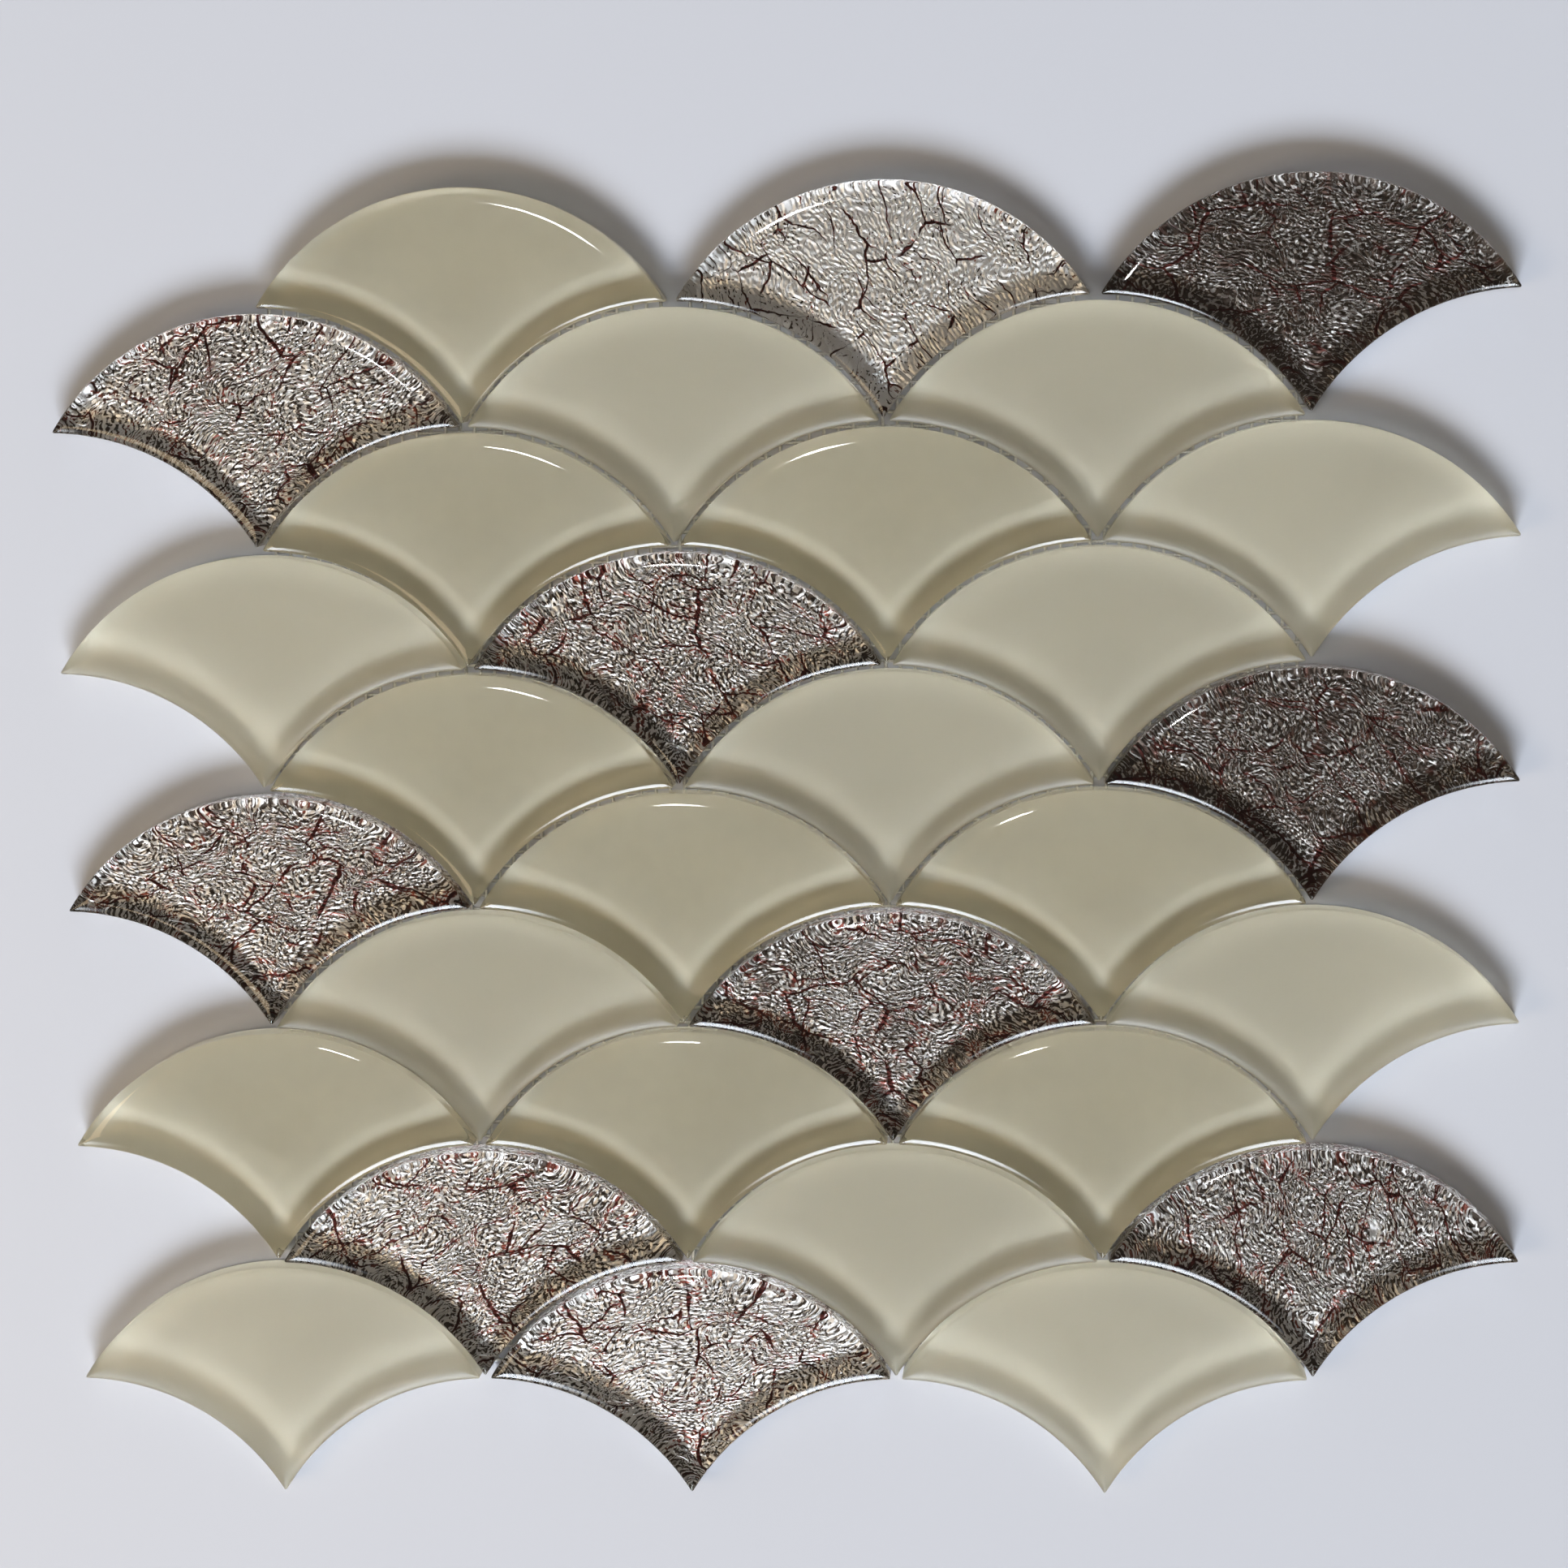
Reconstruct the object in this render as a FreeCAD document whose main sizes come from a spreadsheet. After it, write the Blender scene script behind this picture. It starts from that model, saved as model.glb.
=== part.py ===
import FreeCAD, Part
import os

import Sketcher

# Fish scale glass mosaic sheet, in millimetres.
# Fan-shaped glass tiles stand in staggered rows on one backing net. The two hollow lower edges of a tile
# follow the round tops of the two tiles below it, so one even joint runs all over the sheet.
# The origin is the middle of the sheet on the underside of its net. +X runs along the rows,
# +Y towards the round tops of the tiles and +Z out of the glass face.

# Name, size and meaning of each driving dimension.
SIZES = (
    ("tile_pitch", 86.0, "from one tile to the next in its row"),
    ("row_pitch", 24.8, "from one row to the next"),
    ("joint_width", 1.1, "open joint between two tiles"),
    ("glass_thick", 8.0, "thickness of the glass"),
    ("edge_round", 1.8, "radius of the rounded upper edge of the glass"),
    ("net_thick", 0.4, "thickness of the backing net"),
)

# Finish of each tile: rows from the top of the sheet down, tiles from left to right.
LAYOUT = (
    ("gloss", "foil", "foil"),
    ("foil", "frosted", "frosted"),
    ("gloss", "gloss", "frosted"),
    ("frosted", "foil", "frosted"),
    ("gloss", "frosted", "foil"),
    ("foil", "gloss", "gloss"),
    ("frosted", "foil", "frosted"),
    ("gloss", "gloss", "gloss"),
    ("foil", "frosted", "foil"),
    ("frosted", "foil", "frosted"),
)
ROWS = len(LAYOUT)
COLUMNS = len(LAYOUT[0])

# The first row and every second one after it stand this share of a pitch to the right of the middle,
# the others as far to the left.
STAGGER = 0.25

# An arc one pitch wide and one row high: the tip of each tile then meets the crown two rows below it.
ARC_RADIUS = "(Sizes.tile_pitch ^ 2 / 4 + Sizes.row_pitch ^ 2) / (2 * Sizes.row_pitch)"

START, END, CENTRE = 1, 2, 3
SKETCH_ORIGIN = -1
UP = FreeCAD.Vector(0, 0, 1)


def make_sizes(document):
    """Fill the sheet of driving dimensions, one row each."""
    sheet = document.addObject("Spreadsheet::Sheet", "Sizes")
    for line, (name, value, meaning) in enumerate(SIZES, start=1):
        sheet.set("A%d" % line, name)
        sheet.set("B%d" % line, str(value))
        sheet.set("C%d" % line, meaning)
        sheet.setAlias("B%d" % line, name)
    document.recompute()
    return sheet


def new_body(document, label, row, column, height):
    """Start a piece whose own origin is the arc centre of the tile in that row and column."""
    body = document.addObject("PartDesign::Body", label)
    body.Label = label
    stagger = STAGGER if row % 2 == 0 else -STAGGER
    across = column - (COLUMNS - 1) / 2 + stagger
    rows_up = (ROWS + 1) / 2 - row
    body.setExpression("Placement.Base.x", "%s * Sizes.tile_pitch" % across)
    body.setExpression("Placement.Base.y", "%s * Sizes.row_pitch - %s" % (rows_up, ARC_RADIUS))
    body.setExpression("Placement.Base.z", height)
    return body


def neighbour_shifts(row):
    """Give how many pitches to the left and to the right the two tiles below a tile of that row stand."""
    near = 2 * STAGGER
    far = 1 - near
    return (near, far) if row % 2 == 0 else (far, near)


def bind(sketch, name, kind, geometry, value, expression):
    """Add a dimension to a sketch and tie it to the sheet."""
    index = sketch.addConstraint(Sketcher.Constraint(kind, *geometry, value))
    sketch.renameConstraint(index, name)
    sketch.setExpression("Constraints." + name, expression)


def fan_sketch(body, name, sizes, row, gap=0.0, gap_text="0", from_row=None):
    """Draw a fan of three arcs: its own round top and the tops of its two lower neighbours.

    Half the gap comes off the fan's own radius and is added to its neighbours'. The arc centre lies on
    the body's origin. Where from_row is given, the origin belongs to a tile of that row, and the fan is
    its lower left neighbour.
    """
    pitch = sizes.tile_pitch
    drop = sizes.row_pitch
    radius = (pitch ** 2 / 4 + drop ** 2) / (2 * drop)
    left_shift, right_shift = neighbour_shifts(row)
    lower_left = FreeCAD.Vector(-left_shift * pitch, -drop, 0)
    lower_right = FreeCAD.Vector(right_shift * pitch, -drop, 0)
    centre = FreeCAD.Vector()
    if from_row is not None:
        row_shift = neighbour_shifts(from_row)[0]
        centre = FreeCAD.Vector(-row_shift * pitch, -drop, 0)

    own_circle = Part.Circle(centre, UP, radius - gap / 2)
    left_circle = Part.Circle(centre + lower_left, UP, radius + gap / 2)
    right_circle = Part.Circle(centre + lower_right, UP, radius + gap / 2)
    left_corner = min(own_circle.intersect(left_circle), key=lambda point: point.X)
    right_corner = max(own_circle.intersect(right_circle), key=lambda point: point.X)
    tip = max(left_circle.intersect(right_circle), key=lambda point: point.Y)

    sketch = body.newObject("Sketcher::SketchObject", name)
    planes = [plane for plane in body.Origin.OriginFeatures if plane.Role == "XY_Plane"]
    sketch.AttachmentSupport = [(planes[0], "")]
    sketch.MapMode = "FlatFace"

    def add_arc(circle, first, last):
        ends = [circle.parameter(FreeCAD.Vector(point.X, point.Y, 0)) for point in (first, last)]
        return sketch.addGeometry(Part.ArcOfCircle(circle, *ends), False)

    crown = add_arc(own_circle, right_corner, left_corner)
    left_side = add_arc(left_circle, tip, left_corner)
    right_side = add_arc(right_circle, right_corner, tip)

    sketch.addConstraint(Sketcher.Constraint("Coincident", crown, END, left_side, END))
    sketch.addConstraint(Sketcher.Constraint("Coincident", left_side, START, right_side, END))
    sketch.addConstraint(Sketcher.Constraint("Coincident", right_side, START, crown, START))
    sketch.addConstraint(Sketcher.Constraint("Equal", left_side, right_side))
    bind(sketch, "crown_radius", "Radius", (crown,), own_circle.Radius,
         "%s - %s / 2" % (ARC_RADIUS, gap_text))
    bind(sketch, "side_radius", "Radius", (left_side,), left_circle.Radius,
         "%s + %s / 2" % (ARC_RADIUS, gap_text))
    for side, geometry, shift in (("left", (left_side, CENTRE, crown, CENTRE), left_shift),
                                  ("right", (crown, CENTRE, right_side, CENTRE), right_shift)):
        bind(sketch, side + "_shift", "DistanceX", geometry, shift * pitch, "%s * Sizes.tile_pitch" % shift)
    for side, arc in (("left", left_side), ("right", right_side)):
        bind(sketch, side + "_drop", "DistanceY", (arc, CENTRE, crown, CENTRE), drop, "Sizes.row_pitch")
    if from_row is None:
        sketch.addConstraint(Sketcher.Constraint("Coincident", crown, CENTRE, SKETCH_ORIGIN, START))
    else:
        to_origin = (crown, CENTRE, SKETCH_ORIGIN, START)
        bind(sketch, "row_shift", "DistanceX", to_origin, row_shift * pitch,
             "%s * Sizes.tile_pitch" % row_shift)
        bind(sketch, "row_drop", "DistanceY", to_origin, drop, "Sizes.row_pitch")
    return sketch


def pad_sketch(body, name, sketch, length):
    """Raise a sketch to the given height."""
    pad = body.newObject("PartDesign::Pad", name)
    pad.Profile = sketch
    pad.setExpression("Length", length)
    body.Document.recompute()
    return pad


def make_tile(document, sizes, label, row, column):
    """Make one glass tile, its upper edge rounded all the way round."""
    body = new_body(document, label, row, column, "Sizes.net_thick")
    outline = fan_sketch(body, "Outline", sizes, row, sizes.joint_width, "Sizes.joint_width")
    glass = pad_sketch(body, "Glass", outline, "Sizes.glass_thick")
    top = glass.Shape.BoundBox.ZMax
    upper_edges = ["Edge%d" % number for number, edge in enumerate(glass.Shape.Edges, start=1)
                   if all(abs(corner.Z - top) < 1e-6 for corner in edge.Vertexes)]
    rounding = body.newObject("PartDesign::Fillet", "RoundedEdge")
    rounding.Base = (glass, upper_edges)
    rounding.setExpression("Radius", "Sizes.edge_round")
    document.recompute()
    return body


def make_net(document, sizes):
    """Make the net under all the tiles as one thin sheet that ends half a joint outside them."""
    body = new_body(document, "backing_net", 0, 0, "0")
    first_cell = fan_sketch(body, "FirstRowCell", sizes, 0)
    first_pad = pad_sketch(body, "FirstRowNet", first_cell, "Sizes.net_thick")
    second_cell = fan_sketch(body, "SecondRowCell", sizes, 1, from_row=0)
    second_pad = pad_sketch(body, "SecondRowNet", second_cell, "Sizes.net_thick")

    field = body.newObject("PartDesign::MultiTransform", "NetField")
    field.Originals = [first_pad, second_pad]
    along_row = body.newObject("PartDesign::LinearPattern", "AlongRow")
    along_row.Direction = (first_cell, ["H_Axis"])
    along_row.Occurrences = COLUMNS
    along_row.setExpression("Length", "%d * Sizes.tile_pitch" % (COLUMNS - 1))
    row_pairs = ROWS // 2
    down_sheet = body.newObject("PartDesign::LinearPattern", "DownSheet")
    down_sheet.Direction = (first_cell, ["V_Axis"])
    down_sheet.Reversed = True
    down_sheet.Occurrences = row_pairs
    down_sheet.setExpression("Length", "%d * 2 * Sizes.row_pitch" % (row_pairs - 1))
    field.Transformations = [along_row, down_sheet]
    body.Tip = field
    document.recompute()
    return body


def check(document, bodies):
    """Stop if a feature has failed or a piece is not one sound solid."""
    for item in document.Objects:
        if "Invalid" in item.State or "Error" in item.State:
            raise RuntimeError("failed feature: " + item.Label)
    for body in bodies:
        if body.Shape.isNull() or not body.Shape.isValid() or len(body.Shape.Solids) != 1:
            raise RuntimeError("unsound piece: " + body.Label)


def main():
    document = FreeCAD.newDocument("FishScaleSheet")
    sizes = make_sizes(document)
    bodies = [make_net(document, sizes)]
    for row, finishes in enumerate(LAYOUT):
        for column, finish in enumerate(finishes):
            label = "%s_tile_r%dc%d" % (finish, row + 1, column + 1)
            bodies.append(make_tile(document, sizes, label, row, column))
    document.recompute()
    check(document, bodies)

    os.makedirs("parts", exist_ok=True)
    for body in bodies:
        body.Shape.exportStep(os.path.join("parts", body.Label + ".step"))
    print("pieces written:", len(bodies))


main()
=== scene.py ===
import math

import bpy
import numpy as np
from mathutils import Euler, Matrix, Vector


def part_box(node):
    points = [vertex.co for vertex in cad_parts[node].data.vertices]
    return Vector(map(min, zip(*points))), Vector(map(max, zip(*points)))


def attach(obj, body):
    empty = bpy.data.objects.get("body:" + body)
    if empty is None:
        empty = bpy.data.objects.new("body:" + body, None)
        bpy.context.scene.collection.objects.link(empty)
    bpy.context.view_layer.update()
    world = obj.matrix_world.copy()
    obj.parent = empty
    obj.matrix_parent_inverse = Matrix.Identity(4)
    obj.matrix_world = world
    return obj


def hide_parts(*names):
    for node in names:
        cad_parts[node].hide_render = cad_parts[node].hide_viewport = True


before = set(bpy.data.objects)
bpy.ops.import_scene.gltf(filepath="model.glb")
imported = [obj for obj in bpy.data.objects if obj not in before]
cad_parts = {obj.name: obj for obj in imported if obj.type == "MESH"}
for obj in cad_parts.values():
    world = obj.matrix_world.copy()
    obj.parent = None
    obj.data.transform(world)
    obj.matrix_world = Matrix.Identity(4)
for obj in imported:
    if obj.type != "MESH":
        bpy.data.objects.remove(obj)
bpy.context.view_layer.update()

bl_info = {
    "name": "Fish scale mosaic sheet",
    "version": (1, 0, 0),
    "blender": (4, 5, 0),
    "location": "3D View > Sidebar > Fish scale",
    "description": "Dresses a net-mounted sheet of fan-shaped glass tiles",
    "category": "Object",
}

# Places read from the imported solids, in metres.
FIRST_LOW, FIRST_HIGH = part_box("gloss_tile_r1c1")
NEXT_LOW, NEXT_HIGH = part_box("foil_tile_r1c2")
BELOW_LOW, BELOW_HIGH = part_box("foil_tile_r2c1")
NET_LOW, NET_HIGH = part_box("backing_net")

# Points along each long arc of a tile's outline, points round each corner, and lines up the rounded edge.
ARC_POINTS = 52
CORNER_POINTS = 7
EDGE_LINES = 15

# How far inside the rounded edge the two lines on the flat top of a tile lie, in metres.
FLAT_INSETS = (0.0002, 0.0015)

# Roughness of the glass faces: fire-polished, and etched to a satin.
POLISHED = 0.05
ETCHED = 0.4

# How much darker and browner (above nought) or lighter (below nought) each tile's foil is made, partly as
# painted shade.
FOIL_TONE = {"r1c2": -0.85, "r1c3": 0.55, "r4c2": 0.1, "r5c3": 0.5, "r6c1": 0.15, "r7c2": 0.2, "r9c1": 0.05,
           "r9c3": 0.22}

# Wrinkles of the foil to a millimetre, in its relief and in its faces painted as highlight and shade, and the
# height in metres that the relief is given.
RELIEF_WRINKLES = 1.5
PAINTED_WRINKLES = 1.7
RELIEF_HEIGHT = 0.00024

# Cells that the fine and the coarse cracks of the foil run round, and the cracks' widths, in millimetres.
FINE_CELL, FINE_CRACK = 6.5, 0.15
COARSE_CELL, COARSE_CRACK = 11, 0.19


class TileSizes(bpy.types.PropertyGroup):
    """Sizes of the glass tiles and of the net under them."""

    tile_pitch: bpy.props.FloatProperty(
        name="Tile pitch", description="From one tile to the next in its row",
        default=NEXT_HIGH.x - FIRST_HIGH.x, unit="LENGTH")
    row_pitch: bpy.props.FloatProperty(
        name="Row pitch", description="From one row to the next",
        default=FIRST_HIGH.y - BELOW_HIGH.y, unit="LENGTH")
    joint_width: bpy.props.FloatProperty(
        name="Joint width", description="Open joint between two tiles",
        default=0.0011, unit="LENGTH")
    glass_thick: bpy.props.FloatProperty(
        name="Glass thickness", description="Thickness of a tile",
        default=FIRST_HIGH.z - FIRST_LOW.z, unit="LENGTH")
    edge_wide: bpy.props.FloatProperty(
        name="Edge width", description="Width of the melted, rounded upper edge",
        default=0.0035, unit="LENGTH")
    edge_deep: bpy.props.FloatProperty(
        name="Edge depth", description="Depth of the melted, rounded upper edge at the wall",
        default=0.0010, unit="LENGTH")
    corner_round: bpy.props.FloatProperty(
        name="Corner rounding", description="Radius of a corner in plan",
        default=0.0004, unit="LENGTH")
    thread_pitch: bpy.props.FloatProperty(
        name="Thread pitch", description="From one thread of the net to the next",
        default=0.003, unit="LENGTH")
    thread_width: bpy.props.FloatProperty(
        name="Thread width", description="Width of one thread of the net",
        default=0.0007, unit="LENGTH")


class TileColours(bpy.types.PropertyGroup):
    """Colours of the coats, the foil, the net and the floor."""

    gloss_coat: bpy.props.FloatVectorProperty(
        name="Gloss coat", description="Coat on the back of the gloss tiles",
        default=(0.69, 0.65, 0.525), subtype="COLOR", min=0, max=1)
    frosted_coat: bpy.props.FloatVectorProperty(
        name="Frosted coat", description="Coat on the back of the frosted tiles",
        default=(0.64, 0.605, 0.495), subtype="COLOR", min=0, max=1)
    foil: bpy.props.FloatVectorProperty(
        name="Foil", description="Crinkled foil on the back of the foil tiles",
        default=(0.92, 0.90, 0.89), subtype="COLOR", min=0, max=1)
    crack: bpy.props.FloatVectorProperty(
        name="Crack", description="Cracks along the folds of the foil",
        default=(0.05, 0.012, 0.010), subtype="COLOR", min=0, max=1)
    rust: bpy.props.FloatVectorProperty(
        name="Rust", description="Red stain beside the cracks",
        default=(0.20, 0.05, 0.035), subtype="COLOR", min=0, max=1)
    # Dark brown for the darker tiles' foil, and the painted shade on the dark faces of the foil's wrinkles.
    dark_foil_and_shade: bpy.props.FloatVectorProperty(
        name="Dark foil and shade", description="Brown patches on the foil",
        default=(0.065, 0.05, 0.042), subtype="COLOR", min=0, max=1)
    thread: bpy.props.FloatVectorProperty(
        name="Thread", description="Threads of the net",
        default=(0.86, 0.86, 0.83), subtype="COLOR", min=0, max=1)
    floor: bpy.props.FloatVectorProperty(
        name="Floor", description="Floor under the sheet",
        default=(0.62, 0.64, 0.70), subtype="COLOR", min=0, max=1)


class StageSettings(bpy.types.PropertyGroup):
    """Light and camera of the stage."""

    window_toward: bpy.props.FloatVectorProperty(
        name="Window direction", description="From the sheet to the middle of the large soft window",
        default=(-0.03, -0.75, 0.66), subtype="DIRECTION")
    window_wide: bpy.props.FloatProperty(
        name="Window width", description="Angle from the middle of the window to its side",
        default=math.radians(14), subtype="ANGLE")
    window_tall: bpy.props.FloatProperty(
        name="Window height", description="Angle from the middle of the window to its top",
        default=math.radians(10.5), subtype="ANGLE")
    window_light: bpy.props.FloatVectorProperty(
        name="Window light", description="Brightness of the window",
        default=(17.6, 18.9, 20.6), subtype="COLOR", min=0)
    window_blur: bpy.props.FloatProperty(
        name="Window blur", description="Slope over which the light fades at the window's rim", default=0.09)
    fill_place: bpy.props.FloatVectorProperty(
        name="Fill lamp place", description="Middle of the warm lamp that softens the shadows",
        default=(-0.56, -0.20, 0.70), subtype="TRANSLATION")
    fill_width: bpy.props.FloatProperty(
        name="Fill lamp width", description="Side of the square warm lamp", default=0.35, unit="LENGTH")
    fill_power: bpy.props.FloatProperty(
        name="Fill lamp power", description="Power of the warm lamp", default=1.7, unit="POWER")
    fill_colour: bpy.props.FloatVectorProperty(
        name="Fill lamp colour", description="Colour of the warm lamp",
        default=(1.0, 0.77, 0.5), subtype="COLOR", min=0)
    spark_place: bpy.props.FloatVectorProperty(
        name="Spark lamp place", description="Middle of the far small lamp that glints on the crowns",
        default=(-1.2, 1.32, 11.87), subtype="TRANSLATION")
    spark_wide: bpy.props.FloatProperty(
        name="Spark lamp width", description="Short side of the far lamp", default=0.42, unit="LENGTH")
    spark_long: bpy.props.FloatProperty(
        name="Spark lamp length", description="Long side of the far lamp", default=0.75, unit="LENGTH")
    spark_power: bpy.props.FloatProperty(
        name="Spark lamp power", description="Power of the far small lamp", default=75.0, unit="POWER")
    room_light: bpy.props.FloatVectorProperty(
        name="Room light", description="Brightness of the walls all round",
        default=(0.25, 0.21, 0.155), subtype="COLOR", min=0)
    ceiling_light: bpy.props.FloatVectorProperty(
        name="Ceiling light", description="Brightness of the dim ceiling",
        default=(0.10, 0.09, 0.08), subtype="COLOR", min=0)
    ceiling_inner: bpy.props.FloatProperty(
        name="Ceiling middle", description="Angle from straight up within which all is ceiling",
        default=math.radians(35), subtype="ANGLE")
    ceiling_outer: bpy.props.FloatProperty(
        name="Ceiling rim", description="Angle from straight up beyond which all is wall",
        default=math.radians(60), subtype="ANGLE")
    backdrop: bpy.props.FloatVectorProperty(
        name="Backdrop", description="Colour the camera sees beyond the floor",
        default=(0.60, 0.63, 0.70), subtype="COLOR", min=0, max=1)
    lens: bpy.props.FloatProperty(
        name="Lens", description="Focal length in millimetres on a 36 mm sensor", default=93.2)
    camera_angles: bpy.props.FloatVectorProperty(
        name="Camera angles", description="How the camera is turned from looking straight down",
        default=(math.radians(-6.403), math.radians(3.985), math.radians(-0.922)), subtype="EULER")
    camera_aim: bpy.props.FloatVectorProperty(
        name="Camera aim", description="Point that the camera looks at",
        default=(-0.0004, 0.0128, 0.0), subtype="TRANSLATION")
    camera_reach: bpy.props.FloatProperty(
        name="Camera distance", description="From the camera to the point that it looks at",
        default=0.8388, unit="LENGTH")


def add_node(tree, kind, inputs=None, **settings):
    """Add a shader node, set its properties and set or link its inputs."""
    node = tree.nodes.new(kind)
    for name, value in settings.items():
        setattr(node, name, value)
    for name, value in (inputs or {}).items():
        if isinstance(value, bpy.types.NodeSocket):
            tree.links.new(value, node.inputs[name])
        else:
            node.inputs[name].default_value = value
    return node


def math_node(tree, operation, first, second=0.0):
    """Result of one sum on two numbers."""
    return add_node(tree, "ShaderNodeMath", {0: first, 1: second}, operation=operation).outputs[0]


def vector_node(tree, operation, first, second):
    """Result of one sum on two vectors, as a vector."""
    return add_node(tree, "ShaderNodeVectorMath", {0: first, 1: second}, operation=operation).outputs[0]


def dot_node(tree, first, second):
    """Dot product of two vectors."""
    node = add_node(tree, "ShaderNodeVectorMath", {0: first, 1: second}, operation="DOT_PRODUCT")
    return node.outputs["Value"]


def fade_node(tree, value, start, end):
    """Smooth step of a value from nought at the start to one at the end."""
    node = add_node(tree, "ShaderNodeMapRange", {"Value": value, "From Min": start, "From Max": end},
                    interpolation_type="SMOOTHSTEP")
    return node.outputs[0]


def mix_node(tree, share, first, second):
    """Blend of two colours by a share."""
    node = add_node(tree, "ShaderNodeMix", {"Factor": share}, data_type="RGBA")
    for socket, value in ((node.inputs[6], first), (node.inputs[7], second)):
        if isinstance(value, bpy.types.NodeSocket):
            tree.links.new(value, socket)
        else:
            socket.default_value = (*value, 1)
    return node.outputs[2]


def new_material(name):
    """Start a material and return it with its node tree and its principled shader."""
    material = bpy.data.materials.new(name)
    material.use_nodes = True
    tree = material.node_tree
    return material, tree, tree.nodes["Principled BSDF"]


def glass_material(name, roughness):
    """Clear glass with a polished or an etched face."""
    material, _, shader = new_material(name)
    shader.inputs["Base Color"].default_value = (0.98, 0.99, 0.98, 1)
    shader.inputs["Roughness"].default_value = roughness
    shader.inputs["IOR"].default_value = 1.52
    shader.inputs["Transmission Weight"].default_value = 1
    return material


def coat_material(name, colour):
    """Fired colour coat in contact with the back of the glass, so with no shine of its own.

    A slow noise makes it slightly lighter or darker from place to place, and a finer one mottles it.
    """
    material, tree, shader = new_material(name)
    place = add_node(tree, "ShaderNodeTexCoord").outputs["Object"]
    cloud = add_node(tree, "ShaderNodeTexNoise", {"Vector": place, "Scale": 22, "Detail": 1})
    mottle = add_node(tree, "ShaderNodeTexNoise", {"Vector": place, "Scale": 260, "Detail": 2})
    share = math_node(tree, "ADD", cloud.outputs[0], math_node(tree, "MULTIPLY", mottle.outputs[0], 0.35))
    darker, lighter = Vector(colour) * 0.95, Vector(colour) * 1.05
    shade = mix_node(tree, fade_node(tree, share, 0.35, 1.0), darker, lighter)
    tree.links.new(shade, shader.inputs["Base Color"])
    shader.inputs["Roughness"].default_value = 1
    shader.inputs["Specular IOR Level"].default_value = 0
    return material


def thread_material(colour):
    """Dull glass-fibre thread with fine lighter and darker fibres."""
    material, tree, shader = new_material("net_thread")
    place = add_node(tree, "ShaderNodeTexCoord").outputs["Object"]
    fibre = add_node(tree, "ShaderNodeTexNoise", {"Vector": place, "Scale": 2500, "Detail": 1})
    shade = mix_node(tree, fade_node(tree, fibre.outputs[0], 0.3, 0.7), Vector(colour) * 0.8, colour)
    tree.links.new(shade, shader.inputs["Base Color"])
    shader.inputs["Roughness"].default_value = 0.8
    return material


def fold_lines(tree, place, scale, width):
    """Share of fold at a place: one on the winding middle line of a noise, falling to nought beside it."""
    noise = add_node(tree, "ShaderNodeTexNoise",
                     {"Vector": place, "Scale": scale, "Detail": 0, "Distortion": 0.6})
    off_line = math_node(tree, "ABSOLUTE", math_node(tree, "SUBTRACT", noise.outputs[0], 0.5))
    return fade_node(tree, off_line, width, 0.0)


def crack_gap(tree, place, cell, width):
    """Way in millimetres from a place to the nearest crack, below nought inside it.

    Cracks run along the borders of irregular cells twice as long as wide, with the cell's and the crack's
    width in millimetres. A slow noise thins the cracks until they break.
    """
    moved = vector_node(tree, "MULTIPLY", place, (1 / cell, 0.5 / cell, 1))
    border = add_node(tree, "ShaderNodeTexVoronoi", {"Vector": moved, "Scale": 1},
                      voronoi_dimensions="2D", feature="DISTANCE_TO_EDGE")
    thinning = add_node(tree, "ShaderNodeTexNoise", {"Vector": moved, "Scale": 1.5, "Detail": 0})
    off_line = math_node(tree, "MULTIPLY", border.outputs["Distance"], cell)
    reach = math_node(tree, "MULTIPLY", fade_node(tree, thinning.outputs[0], 0.4, 0.6), width)
    return math_node(tree, "SUBTRACT", off_line, reach)


def lean(tree, place, scale, step):
    """Change of a fine noise from a place to the place one step away."""
    beside = vector_node(tree, "ADD", place, step)
    here, there = (add_node(tree, "ShaderNodeTexNoise",
                            {"Vector": spot, "Scale": scale, "Detail": 1, "Distortion": 0.8}).outputs[0]
                   for spot in (place, beside))
    return math_node(tree, "SUBTRACT", there, here)


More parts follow.
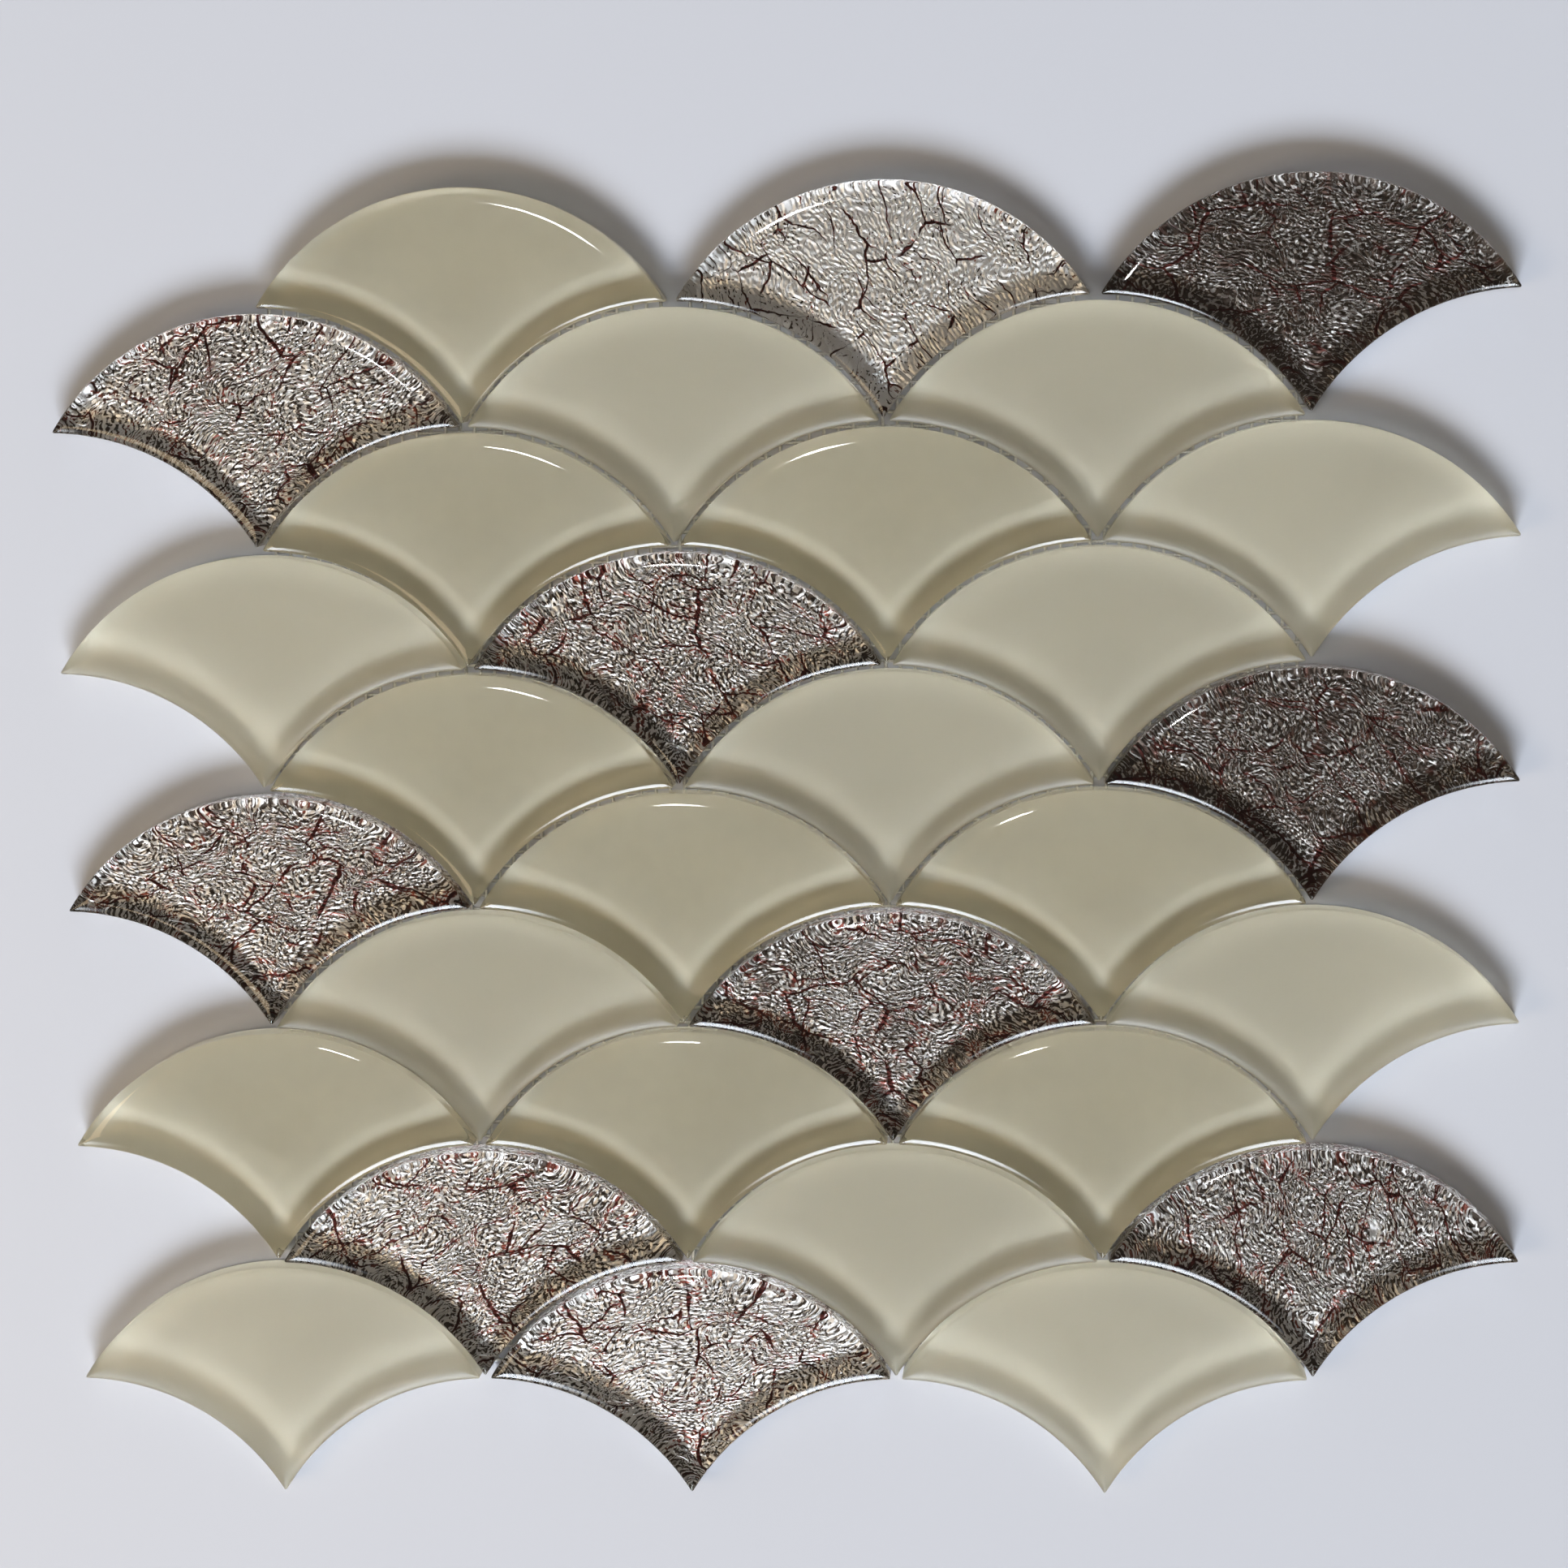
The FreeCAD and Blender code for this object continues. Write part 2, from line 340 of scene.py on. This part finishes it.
def foil_material(colours):
    """Crinkled metal foil with dark cracks, laid out on the tile's own foil map in millimetres.

    The slope of a fine noise, along a way that turns slowly from place to place, gives short wrinkles with a
    painted highlight on one face and painted shade on the other. Long folds are the winding middle lines of a
    slower noise, and are painted lit too. Cracks are thin and dark, and stain the foil beside them red in
    places, within the painted shade. Each tile's own value turns more of its foil dark brown and painted
    shade, or below nought, more of it painted lit.
    """
    material, tree, shader = new_material("crinkled_foil")
    place = add_node(tree, "ShaderNodeUVMap", uv_map="foil_map").outputs["UV"]
    drift = add_node(tree, "ShaderNodeTexNoise", {"Vector": place, "Scale": 0.12, "Detail": 0})
    bent = vector_node(tree, "ADD", place, vector_node(tree, "MULTIPLY", drift.outputs["Color"], (4, 4, 0)))
    quiver = add_node(tree, "ShaderNodeTexNoise", {"Vector": place, "Scale": 0.45, "Detail": 1})
    jitter = vector_node(tree, "MULTIPLY", quiver.outputs["Color"], (1.3, 1.3, 0))
    ragged = vector_node(tree, "ADD", bent, jitter)
    drawn = vector_node(tree, "MULTIPLY", bent, (1, 0.6, 1))
    fold = fold_lines(tree, drawn, 0.3, 0.02)
    wrinkle = add_node(tree, "ShaderNodeTexNoise", {"Vector": drawn, "Scale": RELIEF_WRINKLES, "Detail": 0})
    height = math_node(tree, "ADD", wrinkle.outputs[0], math_node(tree, "MULTIPLY", fold, 0.3))
    bump = add_node(tree, "ShaderNodeBump", {"Height": height, "Strength": 1.0, "Distance": RELIEF_HEIGHT})

    # Each tile's own value: above nought more of its foil is dark brown and more of its wrinkles are painted
    # in shade, below nought more are painted lit.
    own = add_node(tree, "ShaderNodeAttribute", attribute_name="dark_foil_and_shade").outputs["Fac"]
    patch = add_node(tree, "ShaderNodeTexNoise", {"Vector": place, "Scale": 0.05, "Detail": 2})
    spread = math_node(tree, "MULTIPLY", math_node(tree, "ADD", patch.outputs[0], own), 0.16)
    # Painted highlight and painted shade: the slope of a fine noise picks the lit and the shaded face of each
    # wrinkle, and the folds are painted lit.
    aim = vector_node(tree, "SUBTRACT", drift.outputs["Color"], (0.5, 0.5, 0.5))
    step = vector_node(tree, "MULTIPLY", aim, (1.4, 1.4, 0))
    face = math_node(tree, "SUBTRACT", lean(tree, drawn, PAINTED_WRINKLES, step), spread)
    face = math_node(tree, "ADD", face, math_node(tree, "MULTIPLY", fold, 0.15))
    light = fade_node(tree, face, -0.14, -0.04)

    fine_gap = crack_gap(tree, ragged, FINE_CELL, FINE_CRACK)
    coarse_gap = crack_gap(tree, ragged, COARSE_CELL, COARSE_CRACK)
    gap = math_node(tree, "MINIMUM", fine_gap, coarse_gap)
    red = add_node(tree, "ShaderNodeTexNoise", {"Vector": place, "Scale": 0.3, "Detail": 1})
    near_crack = fade_node(tree, gap, 1.0, 0.1)
    stain = math_node(tree, "MULTIPLY", near_crack, fade_node(tree, red.outputs[0], 0.45, 0.6))
    stain = math_node(tree, "MULTIPLY", stain, fade_node(tree, own, 0.7, 0.1))
    # Colour of the painted shade on the wrinkles' dark faces: dark brown, with red stain near the cracks.
    between = mix_node(tree, stain, colours.dark_foil_and_shade, colours.rust)
    colour = mix_node(tree, own, colours.foil, colours.dark_foil_and_shade)
    # Foil where a wrinkle is painted lit, painted shade where it is not.
    colour = mix_node(tree, light, between, colour)
    colour = mix_node(tree, fade_node(tree, gap, 0.06, -0.04), colour, colours.crack)
    tree.links.new(colour, shader.inputs["Base Color"])
    tree.links.new(bump.outputs[0], shader.inputs["Normal"])
    shader.inputs["Metallic"].default_value = 1
    shader.inputs["Roughness"].default_value = 0.4
    return material


def fan_arcs(sizes):
    """Half the tile pitch, the row pitch, and the radii of a tile's crown and of its two hollow sides."""
    half, row = sizes.tile_pitch / 2, sizes.row_pitch
    radius = (half ** 2 + row ** 2) / (2 * row)
    return half, row, radius - sizes.joint_width / 2, radius + sizes.joint_width / 2


def fan_lines(sizes, insets):
    """Closed lines round a tile, one for each inset, as an array of lines by points by x and y.

    A line is three arcs about the tile's own arc centre and those of its two lower neighbours, all drawn in
    by the inset. Each corner is a small arc about the corner of the fan that is drawn in by the inset and the
    corner's radius together, and gets rounder with the inset. Points run anticlockwise from the right end of
    the crown and lie closer together near the corners.
    """
    half, row, crown_radius, side_radius = fan_arcs(sizes)
    inset = np.asarray(insets, float)[:, None]
    rounding = sizes.corner_round + 0.5 * inset
    crown = crown_radius - inset
    side = side_radius + inset

    inner_crown, inner_side = crown - rounding, side + rounding
    apart = math.hypot(half, row)
    along = (inner_crown ** 2 - inner_side ** 2 + apart ** 2) / (2 * apart)
    across = np.sqrt(inner_crown ** 2 - along ** 2)
    right_x = (along * half + across * row) / apart
    right_y = (across * half - along * row) / apart
    tip_y = np.sqrt(inner_side ** 2 - half ** 2) - row

    crown_end = np.arctan2(right_y, right_x)
    side_top = np.arctan2(right_y + row, half - right_x)
    side_tip = np.arctan2(tip_y + row, half)

    arc = (1 - np.cos(np.linspace(0, math.pi, ARC_POINTS)))[None, :] / 2
    bend = np.linspace(0, 1, CORNER_POINTS)[None, 1:-1]

    def turn(centre_x, centre_y, reach, first, last, share):
        angle = first + (last - first) * share
        return np.stack([centre_x + reach * np.cos(angle), centre_y + reach * np.sin(angle)], axis=-1)

    stretches = [
        turn(0, 0, crown, crown_end, math.pi - crown_end, arc),
        turn(-right_x, right_y, rounding, math.pi - crown_end, math.pi + side_top, bend),
        turn(-half, -row, side, side_top, side_tip, arc),
        turn(0, tip_y, rounding, math.pi + side_tip, 2 * math.pi - side_tip, bend),
        turn(half, -row, side, math.pi - side_tip, math.pi - side_top, arc),
        turn(right_x, right_y, rounding, -side_top, crown_end, bend),
    ]
    return np.concatenate(stretches, axis=1)


def edge_drop(inside, sizes):
    """How far the rounded edge lies below the flat top at a distance inside its outline.

    The edge is a quarter of an ellipse, so the drop is its depth less the ellipse's height at that distance.
    """
    outward = np.clip(1 - inside / sizes.edge_wide, 0, 1)
    return sizes.edge_deep * (1 - np.sqrt(1 - outward ** 2))


def tile_points(sizes):
    """Points of a tile about its arc centre, as lines by points by x, y and z, from its foot to its flat top.

    The wall stands straight. Above it each point drops from the flat top by the most that any of the three
    rounded edges asks for at its place.
    """
    half, row, crown_radius, side_radius = fan_arcs(sizes)
    quarter = np.linspace(0, math.pi / 2, EDGE_LINES)
    edge_insets = sizes.edge_wide * (1 - np.cos(quarter))
    insets = np.concatenate([[0], edge_insets, sizes.edge_wide + np.array(FLAT_INSETS)])
    flat = fan_lines(sizes, insets)
    x, y = flat[..., 0], flat[..., 1]
    drop = np.maximum.reduce([
        edge_drop(crown_radius - np.hypot(x, y), sizes),
        edge_drop(np.hypot(x + half, y + row) - side_radius, sizes),
        edge_drop(np.hypot(x - half, y + row) - side_radius, sizes),
    ])
    height = sizes.glass_thick - drop
    height[0] = 0
    return np.concatenate([flat, height[..., None]], axis=-1)


def ring_faces(lines, points):
    """Quads between neighbouring closed lines, as an array of point numbers."""
    line, point = np.meshgrid(np.arange(lines - 1), np.arange(points), indexing="ij")
    following = (point + 1) % points
    corners = [line * points + point, line * points + following,
               (line + 1) * points + following, (line + 1) * points + point]
    return np.stack(corners, axis=-1).reshape(-1, 4)


def make_tile(name, sizes, glass, back):
    """Replace one packed tile by a smooth glass body with its coat or foil on the underside."""
    low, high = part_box(name)
    crown_radius = fan_arcs(sizes)[2]
    centre = np.array([(low.x + high.x) / 2, high.y - crown_radius, low.z])
    points = tile_points(sizes) + centre
    lines, count = points.shape[:2]

    foot = list(range(count - 1, -1, -1))
    top = list(range((lines - 1) * count, lines * count))
    faces = ring_faces(lines, count).tolist() + [top, foot]
    mesh = bpy.data.meshes.new(name + "_glass")
    mesh.from_pydata(points.reshape(-1, 3), [], faces)
    mesh.materials.append(glass)
    mesh.materials.append(back)
    mesh.polygons[-1].material_index = 1
    mesh.shade_smooth()
    sharpen_foot(mesh, count)
    lay_foil_map(mesh, name, centre[:2])
    mesh.validate()

    tile = bpy.data.objects.new(name + "_glass", mesh)
    bpy.context.scene.collection.objects.link(tile)
    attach(tile, "root")
    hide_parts(name)
    return tile


def sharpen_foot(mesh, count):
    """Keep the edge between the wall and the underside sharp."""
    ends = np.empty(len(mesh.edges) * 2, np.int32)
    mesh.edges.foreach_get("vertices", ends)
    sharp = (ends.reshape(-1, 2) < count).all(axis=1)
    mesh.attributes.new("sharp_edge", "BOOLEAN", "EDGE").data.foreach_set("value", sharp)


def lay_foil_map(mesh, name, centre):
    """Map each corner to millimetres from the tile's arc centre, turned and moved by an amount of its own."""
    row, column = (int(part) for part in name.split("_r")[1].split("c"))
    order = 3 * row + column
    turn = order * math.radians(137.5)
    corner_points = np.empty(len(mesh.loops), np.int32)
    mesh.loops.foreach_get("vertex_index", corner_points)
    places = np.empty(len(mesh.vertices) * 3)
    mesh.vertices.foreach_get("co", places)
    local = (places.reshape(-1, 3)[corner_points, :2] - centre) * 1000
    turned = np.stack([local[:, 0] * math.cos(turn) - local[:, 1] * math.sin(turn),
                       local[:, 0] * math.sin(turn) + local[:, 1] * math.cos(turn)], axis=-1)
    mesh.uv_layers.new(name="foil_map").data.foreach_set("uv", (turned + 100 * order).ravel())
    # The tile's own value from the foil tone table, for its darker foil and its share of painted shade.
    dark_foil_and_shade = np.full(len(mesh.polygons), FOIL_TONE.get(name.split("_")[-1], 0.0))
    mesh.attributes.new("dark_foil_and_shade", "FLOAT", "FACE").data.foreach_set("value", dark_foil_and_shade)


def tile_names(finish):
    """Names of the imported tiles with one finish."""
    return sorted(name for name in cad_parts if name.startswith(finish + "_tile"))


class FISHSCALE_OT_gloss_tiles(bpy.types.Operator):
    """Make the polished tiles over a beige coat"""

    bl_idname = "fishscale.gloss_tiles"
    bl_label = "Gloss tiles"

    def execute(self, context):
        glass = glass_material("polished_glass", POLISHED)
        coat = coat_material("gloss_coat", context.scene.tile_colours.gloss_coat)
        for name in tile_names("gloss"):
            make_tile(name, context.scene.tile_sizes, glass, coat)
        return {"FINISHED"}


class FISHSCALE_OT_frosted_tiles(bpy.types.Operator):
    """Make the etched tiles over a beige coat"""

    bl_idname = "fishscale.frosted_tiles"
    bl_label = "Frosted tiles"

    def execute(self, context):
        glass = glass_material("etched_glass", ETCHED)
        coat = coat_material("frosted_coat", context.scene.tile_colours.frosted_coat)
        for name in tile_names("frosted"):
            make_tile(name, context.scene.tile_sizes, glass, coat)
        return {"FINISHED"}


class FISHSCALE_OT_foil_tiles(bpy.types.Operator):
    """Make the polished tiles over crinkled foil"""

    bl_idname = "fishscale.foil_tiles"
    bl_label = "Foil tiles"

    def execute(self, context):
        glass = glass_material("polished_glass_on_foil", POLISHED)
        foil = foil_material(context.scene.tile_colours)
        for name in tile_names("foil"):
            make_tile(name, context.scene.tile_sizes, glass, foil)
        return {"FINISHED"}


def under_sheet(x, y, sizes, centres, margin):
    """True where a point lies in the fan of some tile, widened by the margin.

    A fan is what its own arc's circle holds and the circles of its two lower neighbours leave.
    """
    half, row, crown_radius, side_radius = fan_arcs(sizes)
    across = x[..., None] - centres[:, 0]
    up = y[..., None] - centres[:, 1]
    own = np.hypot(across, up) <= crown_radius + margin
    left = np.hypot(across + half, up + row) >= side_radius - margin
    right = np.hypot(across - half, up + row) >= side_radius - margin
    return (own & left & right).any(axis=-1)


def thread_run(lengthwise, sidewise, kept, sizes, lift):
    """Threads along one direction as points and quads.

    Each thread has a four-sided section at every crossing, which rises and falls by the lift in turn. Only
    the stretches between two kept crossings are made, and their free ends are closed.
    """
    threads, stations = kept.shape
    wide, high = sizes.thread_width / 2, sizes.thread_width / 9
    thread, station = np.meshgrid(np.arange(threads), np.arange(stations), indexing="ij")
    middle = (NET_HIGH.z - NET_LOW.z) * 0.48 + lift * np.where((thread + station) % 2 == 0, 1, -1)
    side_steps = np.array([-wide, 0, wide, 0])
    rise_steps = np.array([0, -high, 0, high])
    along = np.broadcast_to(lengthwise[None, :, None], (threads, stations, 4))
    across = sidewise[:, None, None] + np.broadcast_to(side_steps, (threads, stations, 4))
    rise = middle[:, :, None] + rise_steps
    points = np.stack([along, across, rise], axis=-1)

    number = np.arange(threads * stations * 4).reshape(threads, stations, 4)
    whole = kept[:, :-1] & kept[:, 1:]
    following = np.roll(number, -1, axis=2)
    walls = np.stack([number[:, :-1], number[:, 1:], following[:, 1:], following[:, :-1]], axis=-1)[whole]
    padded = np.pad(whole, ((0, 0), (1, 1)))
    starts = number[padded[:, 1:] & ~padded[:, :-1]]
    ends = number[padded[:, :-1] & ~padded[:, 1:]][:, ::-1]
    return points, np.concatenate([walls.reshape(-1, 4), starts, ends])


class FISHSCALE_OT_backing_net(bpy.types.Operator):
    """Make the woven net that carries the tiles"""

    bl_idname = "fishscale.backing_net"
    bl_label = "Backing net"

    def execute(self, context):
        sizes = context.scene.tile_sizes
        crown_radius = fan_arcs(sizes)[2]
        boxes = [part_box(name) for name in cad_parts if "_tile_" in name]
        centres = np.array([((low.x + high.x) / 2, high.y - crown_radius) for low, high in boxes])
        across = np.arange(NET_LOW.x, NET_HIGH.x, sizes.thread_pitch) + sizes.thread_pitch / 6
        up = np.arange(NET_LOW.y, NET_HIGH.y, sizes.thread_pitch) + sizes.thread_pitch / 6
        grid_x, grid_y = np.meshgrid(across, up)
        round_about = np.linspace(0, 2 * math.pi, 8, endpoint=False)
        inset = sizes.thread_width
        kept = np.logical_and.reduce([
            under_sheet(grid_x + inset * math.cos(angle), grid_y + inset * math.sin(angle),
                        sizes, centres, sizes.joint_width / 2) for angle in round_about])
        lift = sizes.thread_width / 8
        weft_points, weft_faces = thread_run(across, up, kept, sizes, lift)
        warp_points, warp_faces = thread_run(up, across, kept.T, sizes, -lift)
        weft_points = weft_points.reshape(-1, 3)
        warp_points = warp_points.reshape(-1, 3)[:, [1, 0, 2]]
        points = np.concatenate([weft_points, warp_points])
        faces = np.concatenate([weft_faces, warp_faces[:, ::-1] + len(weft_points)])
        used, faces = np.unique(faces, return_inverse=True)

        mesh = bpy.data.meshes.new("woven_net")
        mesh.from_pydata(points[used], [], faces.reshape(-1, 4).tolist())
        mesh.materials.append(thread_material(context.scene.tile_colours.thread))
        mesh.shade_smooth()
        net = bpy.data.objects.new("woven_net", mesh)
        context.scene.collection.objects.link(net)
        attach(net, "root")
        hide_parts("backing_net")
        return {"FINISHED"}


def soft_disc(tree, direction, toward, inner, outer):
    """Share of a soft round patch of sky: full inside one angle about its middle, none outside another."""
    ahead = dot_node(tree, direction, Vector(toward).normalized())
    return fade_node(tree, ahead, math.cos(outer), math.cos(inner))


def soft_window(tree, direction, toward, wide, tall, blur):
    """Share of a soft rectangular window in the sky.

    The window stands square to the line to its middle. Across and up are a direction's slopes from that line,
    and the light fades over the blur at the window's rim.
    """
    middle = Vector(toward).normalized()
    right = middle.cross(Vector((0, 0, 1))).normalized()
    ahead = dot_node(tree, direction, middle)
    across = math_node(tree, "DIVIDE", math_node(tree, "ABSOLUTE", dot_node(tree, direction, right)), ahead)
    up = math_node(tree, "DIVIDE",
                   math_node(tree, "ABSOLUTE", dot_node(tree, direction, right.cross(middle))), ahead)
    share = math_node(tree, "MULTIPLY", fade_node(tree, across, math.tan(wide) + blur, math.tan(wide) - blur),
                      fade_node(tree, up, math.tan(tall) + blur, math.tan(tall) - blur))
    return math_node(tree, "MULTIPLY", share, fade_node(tree, ahead, 0.0, 0.1))


def lit(tree, share, colour):
    """A colour of light times a share."""
    node = add_node(tree, "ShaderNodeVectorMath", {0: tuple(colour), "Scale": share}, operation="SCALE")
    return node.outputs[0]


def area_lamp(name, place, wide, long, power):
    """Hang a rectangular lamp that faces the middle of the sheet, and return its settings."""
    settings = bpy.data.lights.new(name, "AREA")
    settings.shape = "RECTANGLE"
    settings.size = wide
    settings.size_y = long
    settings.energy = power
    lamp = bpy.data.objects.new(name, settings)
    lamp.location = place
    lamp.rotation_euler = Vector(place).to_track_quat("Z", "Y").to_euler()
    bpy.context.scene.collection.objects.link(lamp)
    return settings


class FISHSCALE_OT_stage(bpy.types.Operator):
    """Make the floor, the light and the camera"""

    bl_idname = "fishscale.stage"
    bl_label = "Stage"

    def execute(self, context):
        scene = context.scene
        stage = scene.tile_stage
        reach = 6.0
        floor_mesh = bpy.data.meshes.new("floor")
        corners = [(-reach, -reach, 0), (reach, -reach, 0), (reach, reach, 0), (-reach, reach, 0)]
        floor_mesh.from_pydata(corners, [], [(0, 1, 2, 3)])
        floor = bpy.data.objects.new("floor", floor_mesh)
        scene.collection.objects.link(floor)
        material, _, shader = new_material("floor")
        shader.inputs["Base Color"].default_value = (*scene.tile_colours.floor, 1)
        shader.inputs["Roughness"].default_value = 0.6
        floor_mesh.materials.append(material)

        world = bpy.data.worlds.new("studio")
        world.use_nodes = True
        tree = world.node_tree
        direction = add_node(tree, "ShaderNodeTexCoord").outputs["Generated"]
        window = soft_window(tree, direction, stage.window_toward, stage.window_wide, stage.window_tall,
                             stage.window_blur)
        overhead = soft_disc(tree, direction, (0, 0, 1), stage.ceiling_inner, stage.ceiling_outer)
        light = mix_node(tree, overhead, stage.room_light, stage.ceiling_light)
        light = vector_node(tree, "ADD", light, lit(tree, window, stage.window_light))
        seen = add_node(tree, "ShaderNodeLightPath").outputs["Is Camera Ray"]
        light = mix_node(tree, seen, light, stage.backdrop)
        tree.links.new(light, tree.nodes["Background"].inputs["Color"])
        scene.world = world

        fill = area_lamp("fill", stage.fill_place, stage.fill_width, stage.fill_width, stage.fill_power)
        fill.color = stage.fill_colour
        area_lamp("spark", stage.spark_place, stage.spark_wide, stage.spark_long, stage.spark_power)

        camera_data = bpy.data.cameras.new("camera")
        camera_data.lens = stage.lens
        camera_data.sensor_width = 36
        camera = bpy.data.objects.new("camera", camera_data)
        camera.rotation_euler = Euler(stage.camera_angles)
        back = camera.rotation_euler.to_matrix() @ Vector((0, 0, stage.camera_reach))
        camera.location = Vector(stage.camera_aim) + back
        scene.collection.objects.link(camera)
        scene.camera = camera
        scene.view_settings.view_transform = "Standard"
        scene.cycles.blur_glossy = 0
        return {"FINISHED"}


class FISHSCALE_PT_sheet(bpy.types.Panel):
    """Sizes, colours and steps of the mosaic sheet"""

    bl_idname = "FISHSCALE_PT_sheet"
    bl_label = "Fish scale sheet"
    bl_space_type = "VIEW_3D"
    bl_region_type = "UI"
    bl_category = "Fish scale"

    def draw(self, context):
        layout = self.layout
        for group in (context.scene.tile_sizes, context.scene.tile_colours, context.scene.tile_stage):
            for name in group.__annotations__:
                layout.prop(group, name)
        for operator in OPERATORS:
            layout.operator(operator.bl_idname)


OPERATORS = (FISHSCALE_OT_gloss_tiles, FISHSCALE_OT_frosted_tiles, FISHSCALE_OT_foil_tiles,
             FISHSCALE_OT_backing_net, FISHSCALE_OT_stage)
CLASSES = (TileSizes, TileColours, StageSettings, *OPERATORS, FISHSCALE_PT_sheet)


def register():
    for item in CLASSES:
        bpy.utils.register_class(item)
    bpy.types.Scene.tile_sizes = bpy.props.PointerProperty(type=TileSizes)
    bpy.types.Scene.tile_colours = bpy.props.PointerProperty(type=TileColours)
    bpy.types.Scene.tile_stage = bpy.props.PointerProperty(type=StageSettings)


def unregister():
    del bpy.types.Scene.tile_stage
    del bpy.types.Scene.tile_colours
    del bpy.types.Scene.tile_sizes
    for item in reversed(CLASSES):
        bpy.utils.unregister_class(item)


def main():
    register()
    bpy.ops.fishscale.gloss_tiles()
    bpy.ops.fishscale.frosted_tiles()
    bpy.ops.fishscale.foil_tiles()
    bpy.ops.fishscale.backing_net()
    bpy.ops.fishscale.stage()


if __name__ == "__main__":
    main()
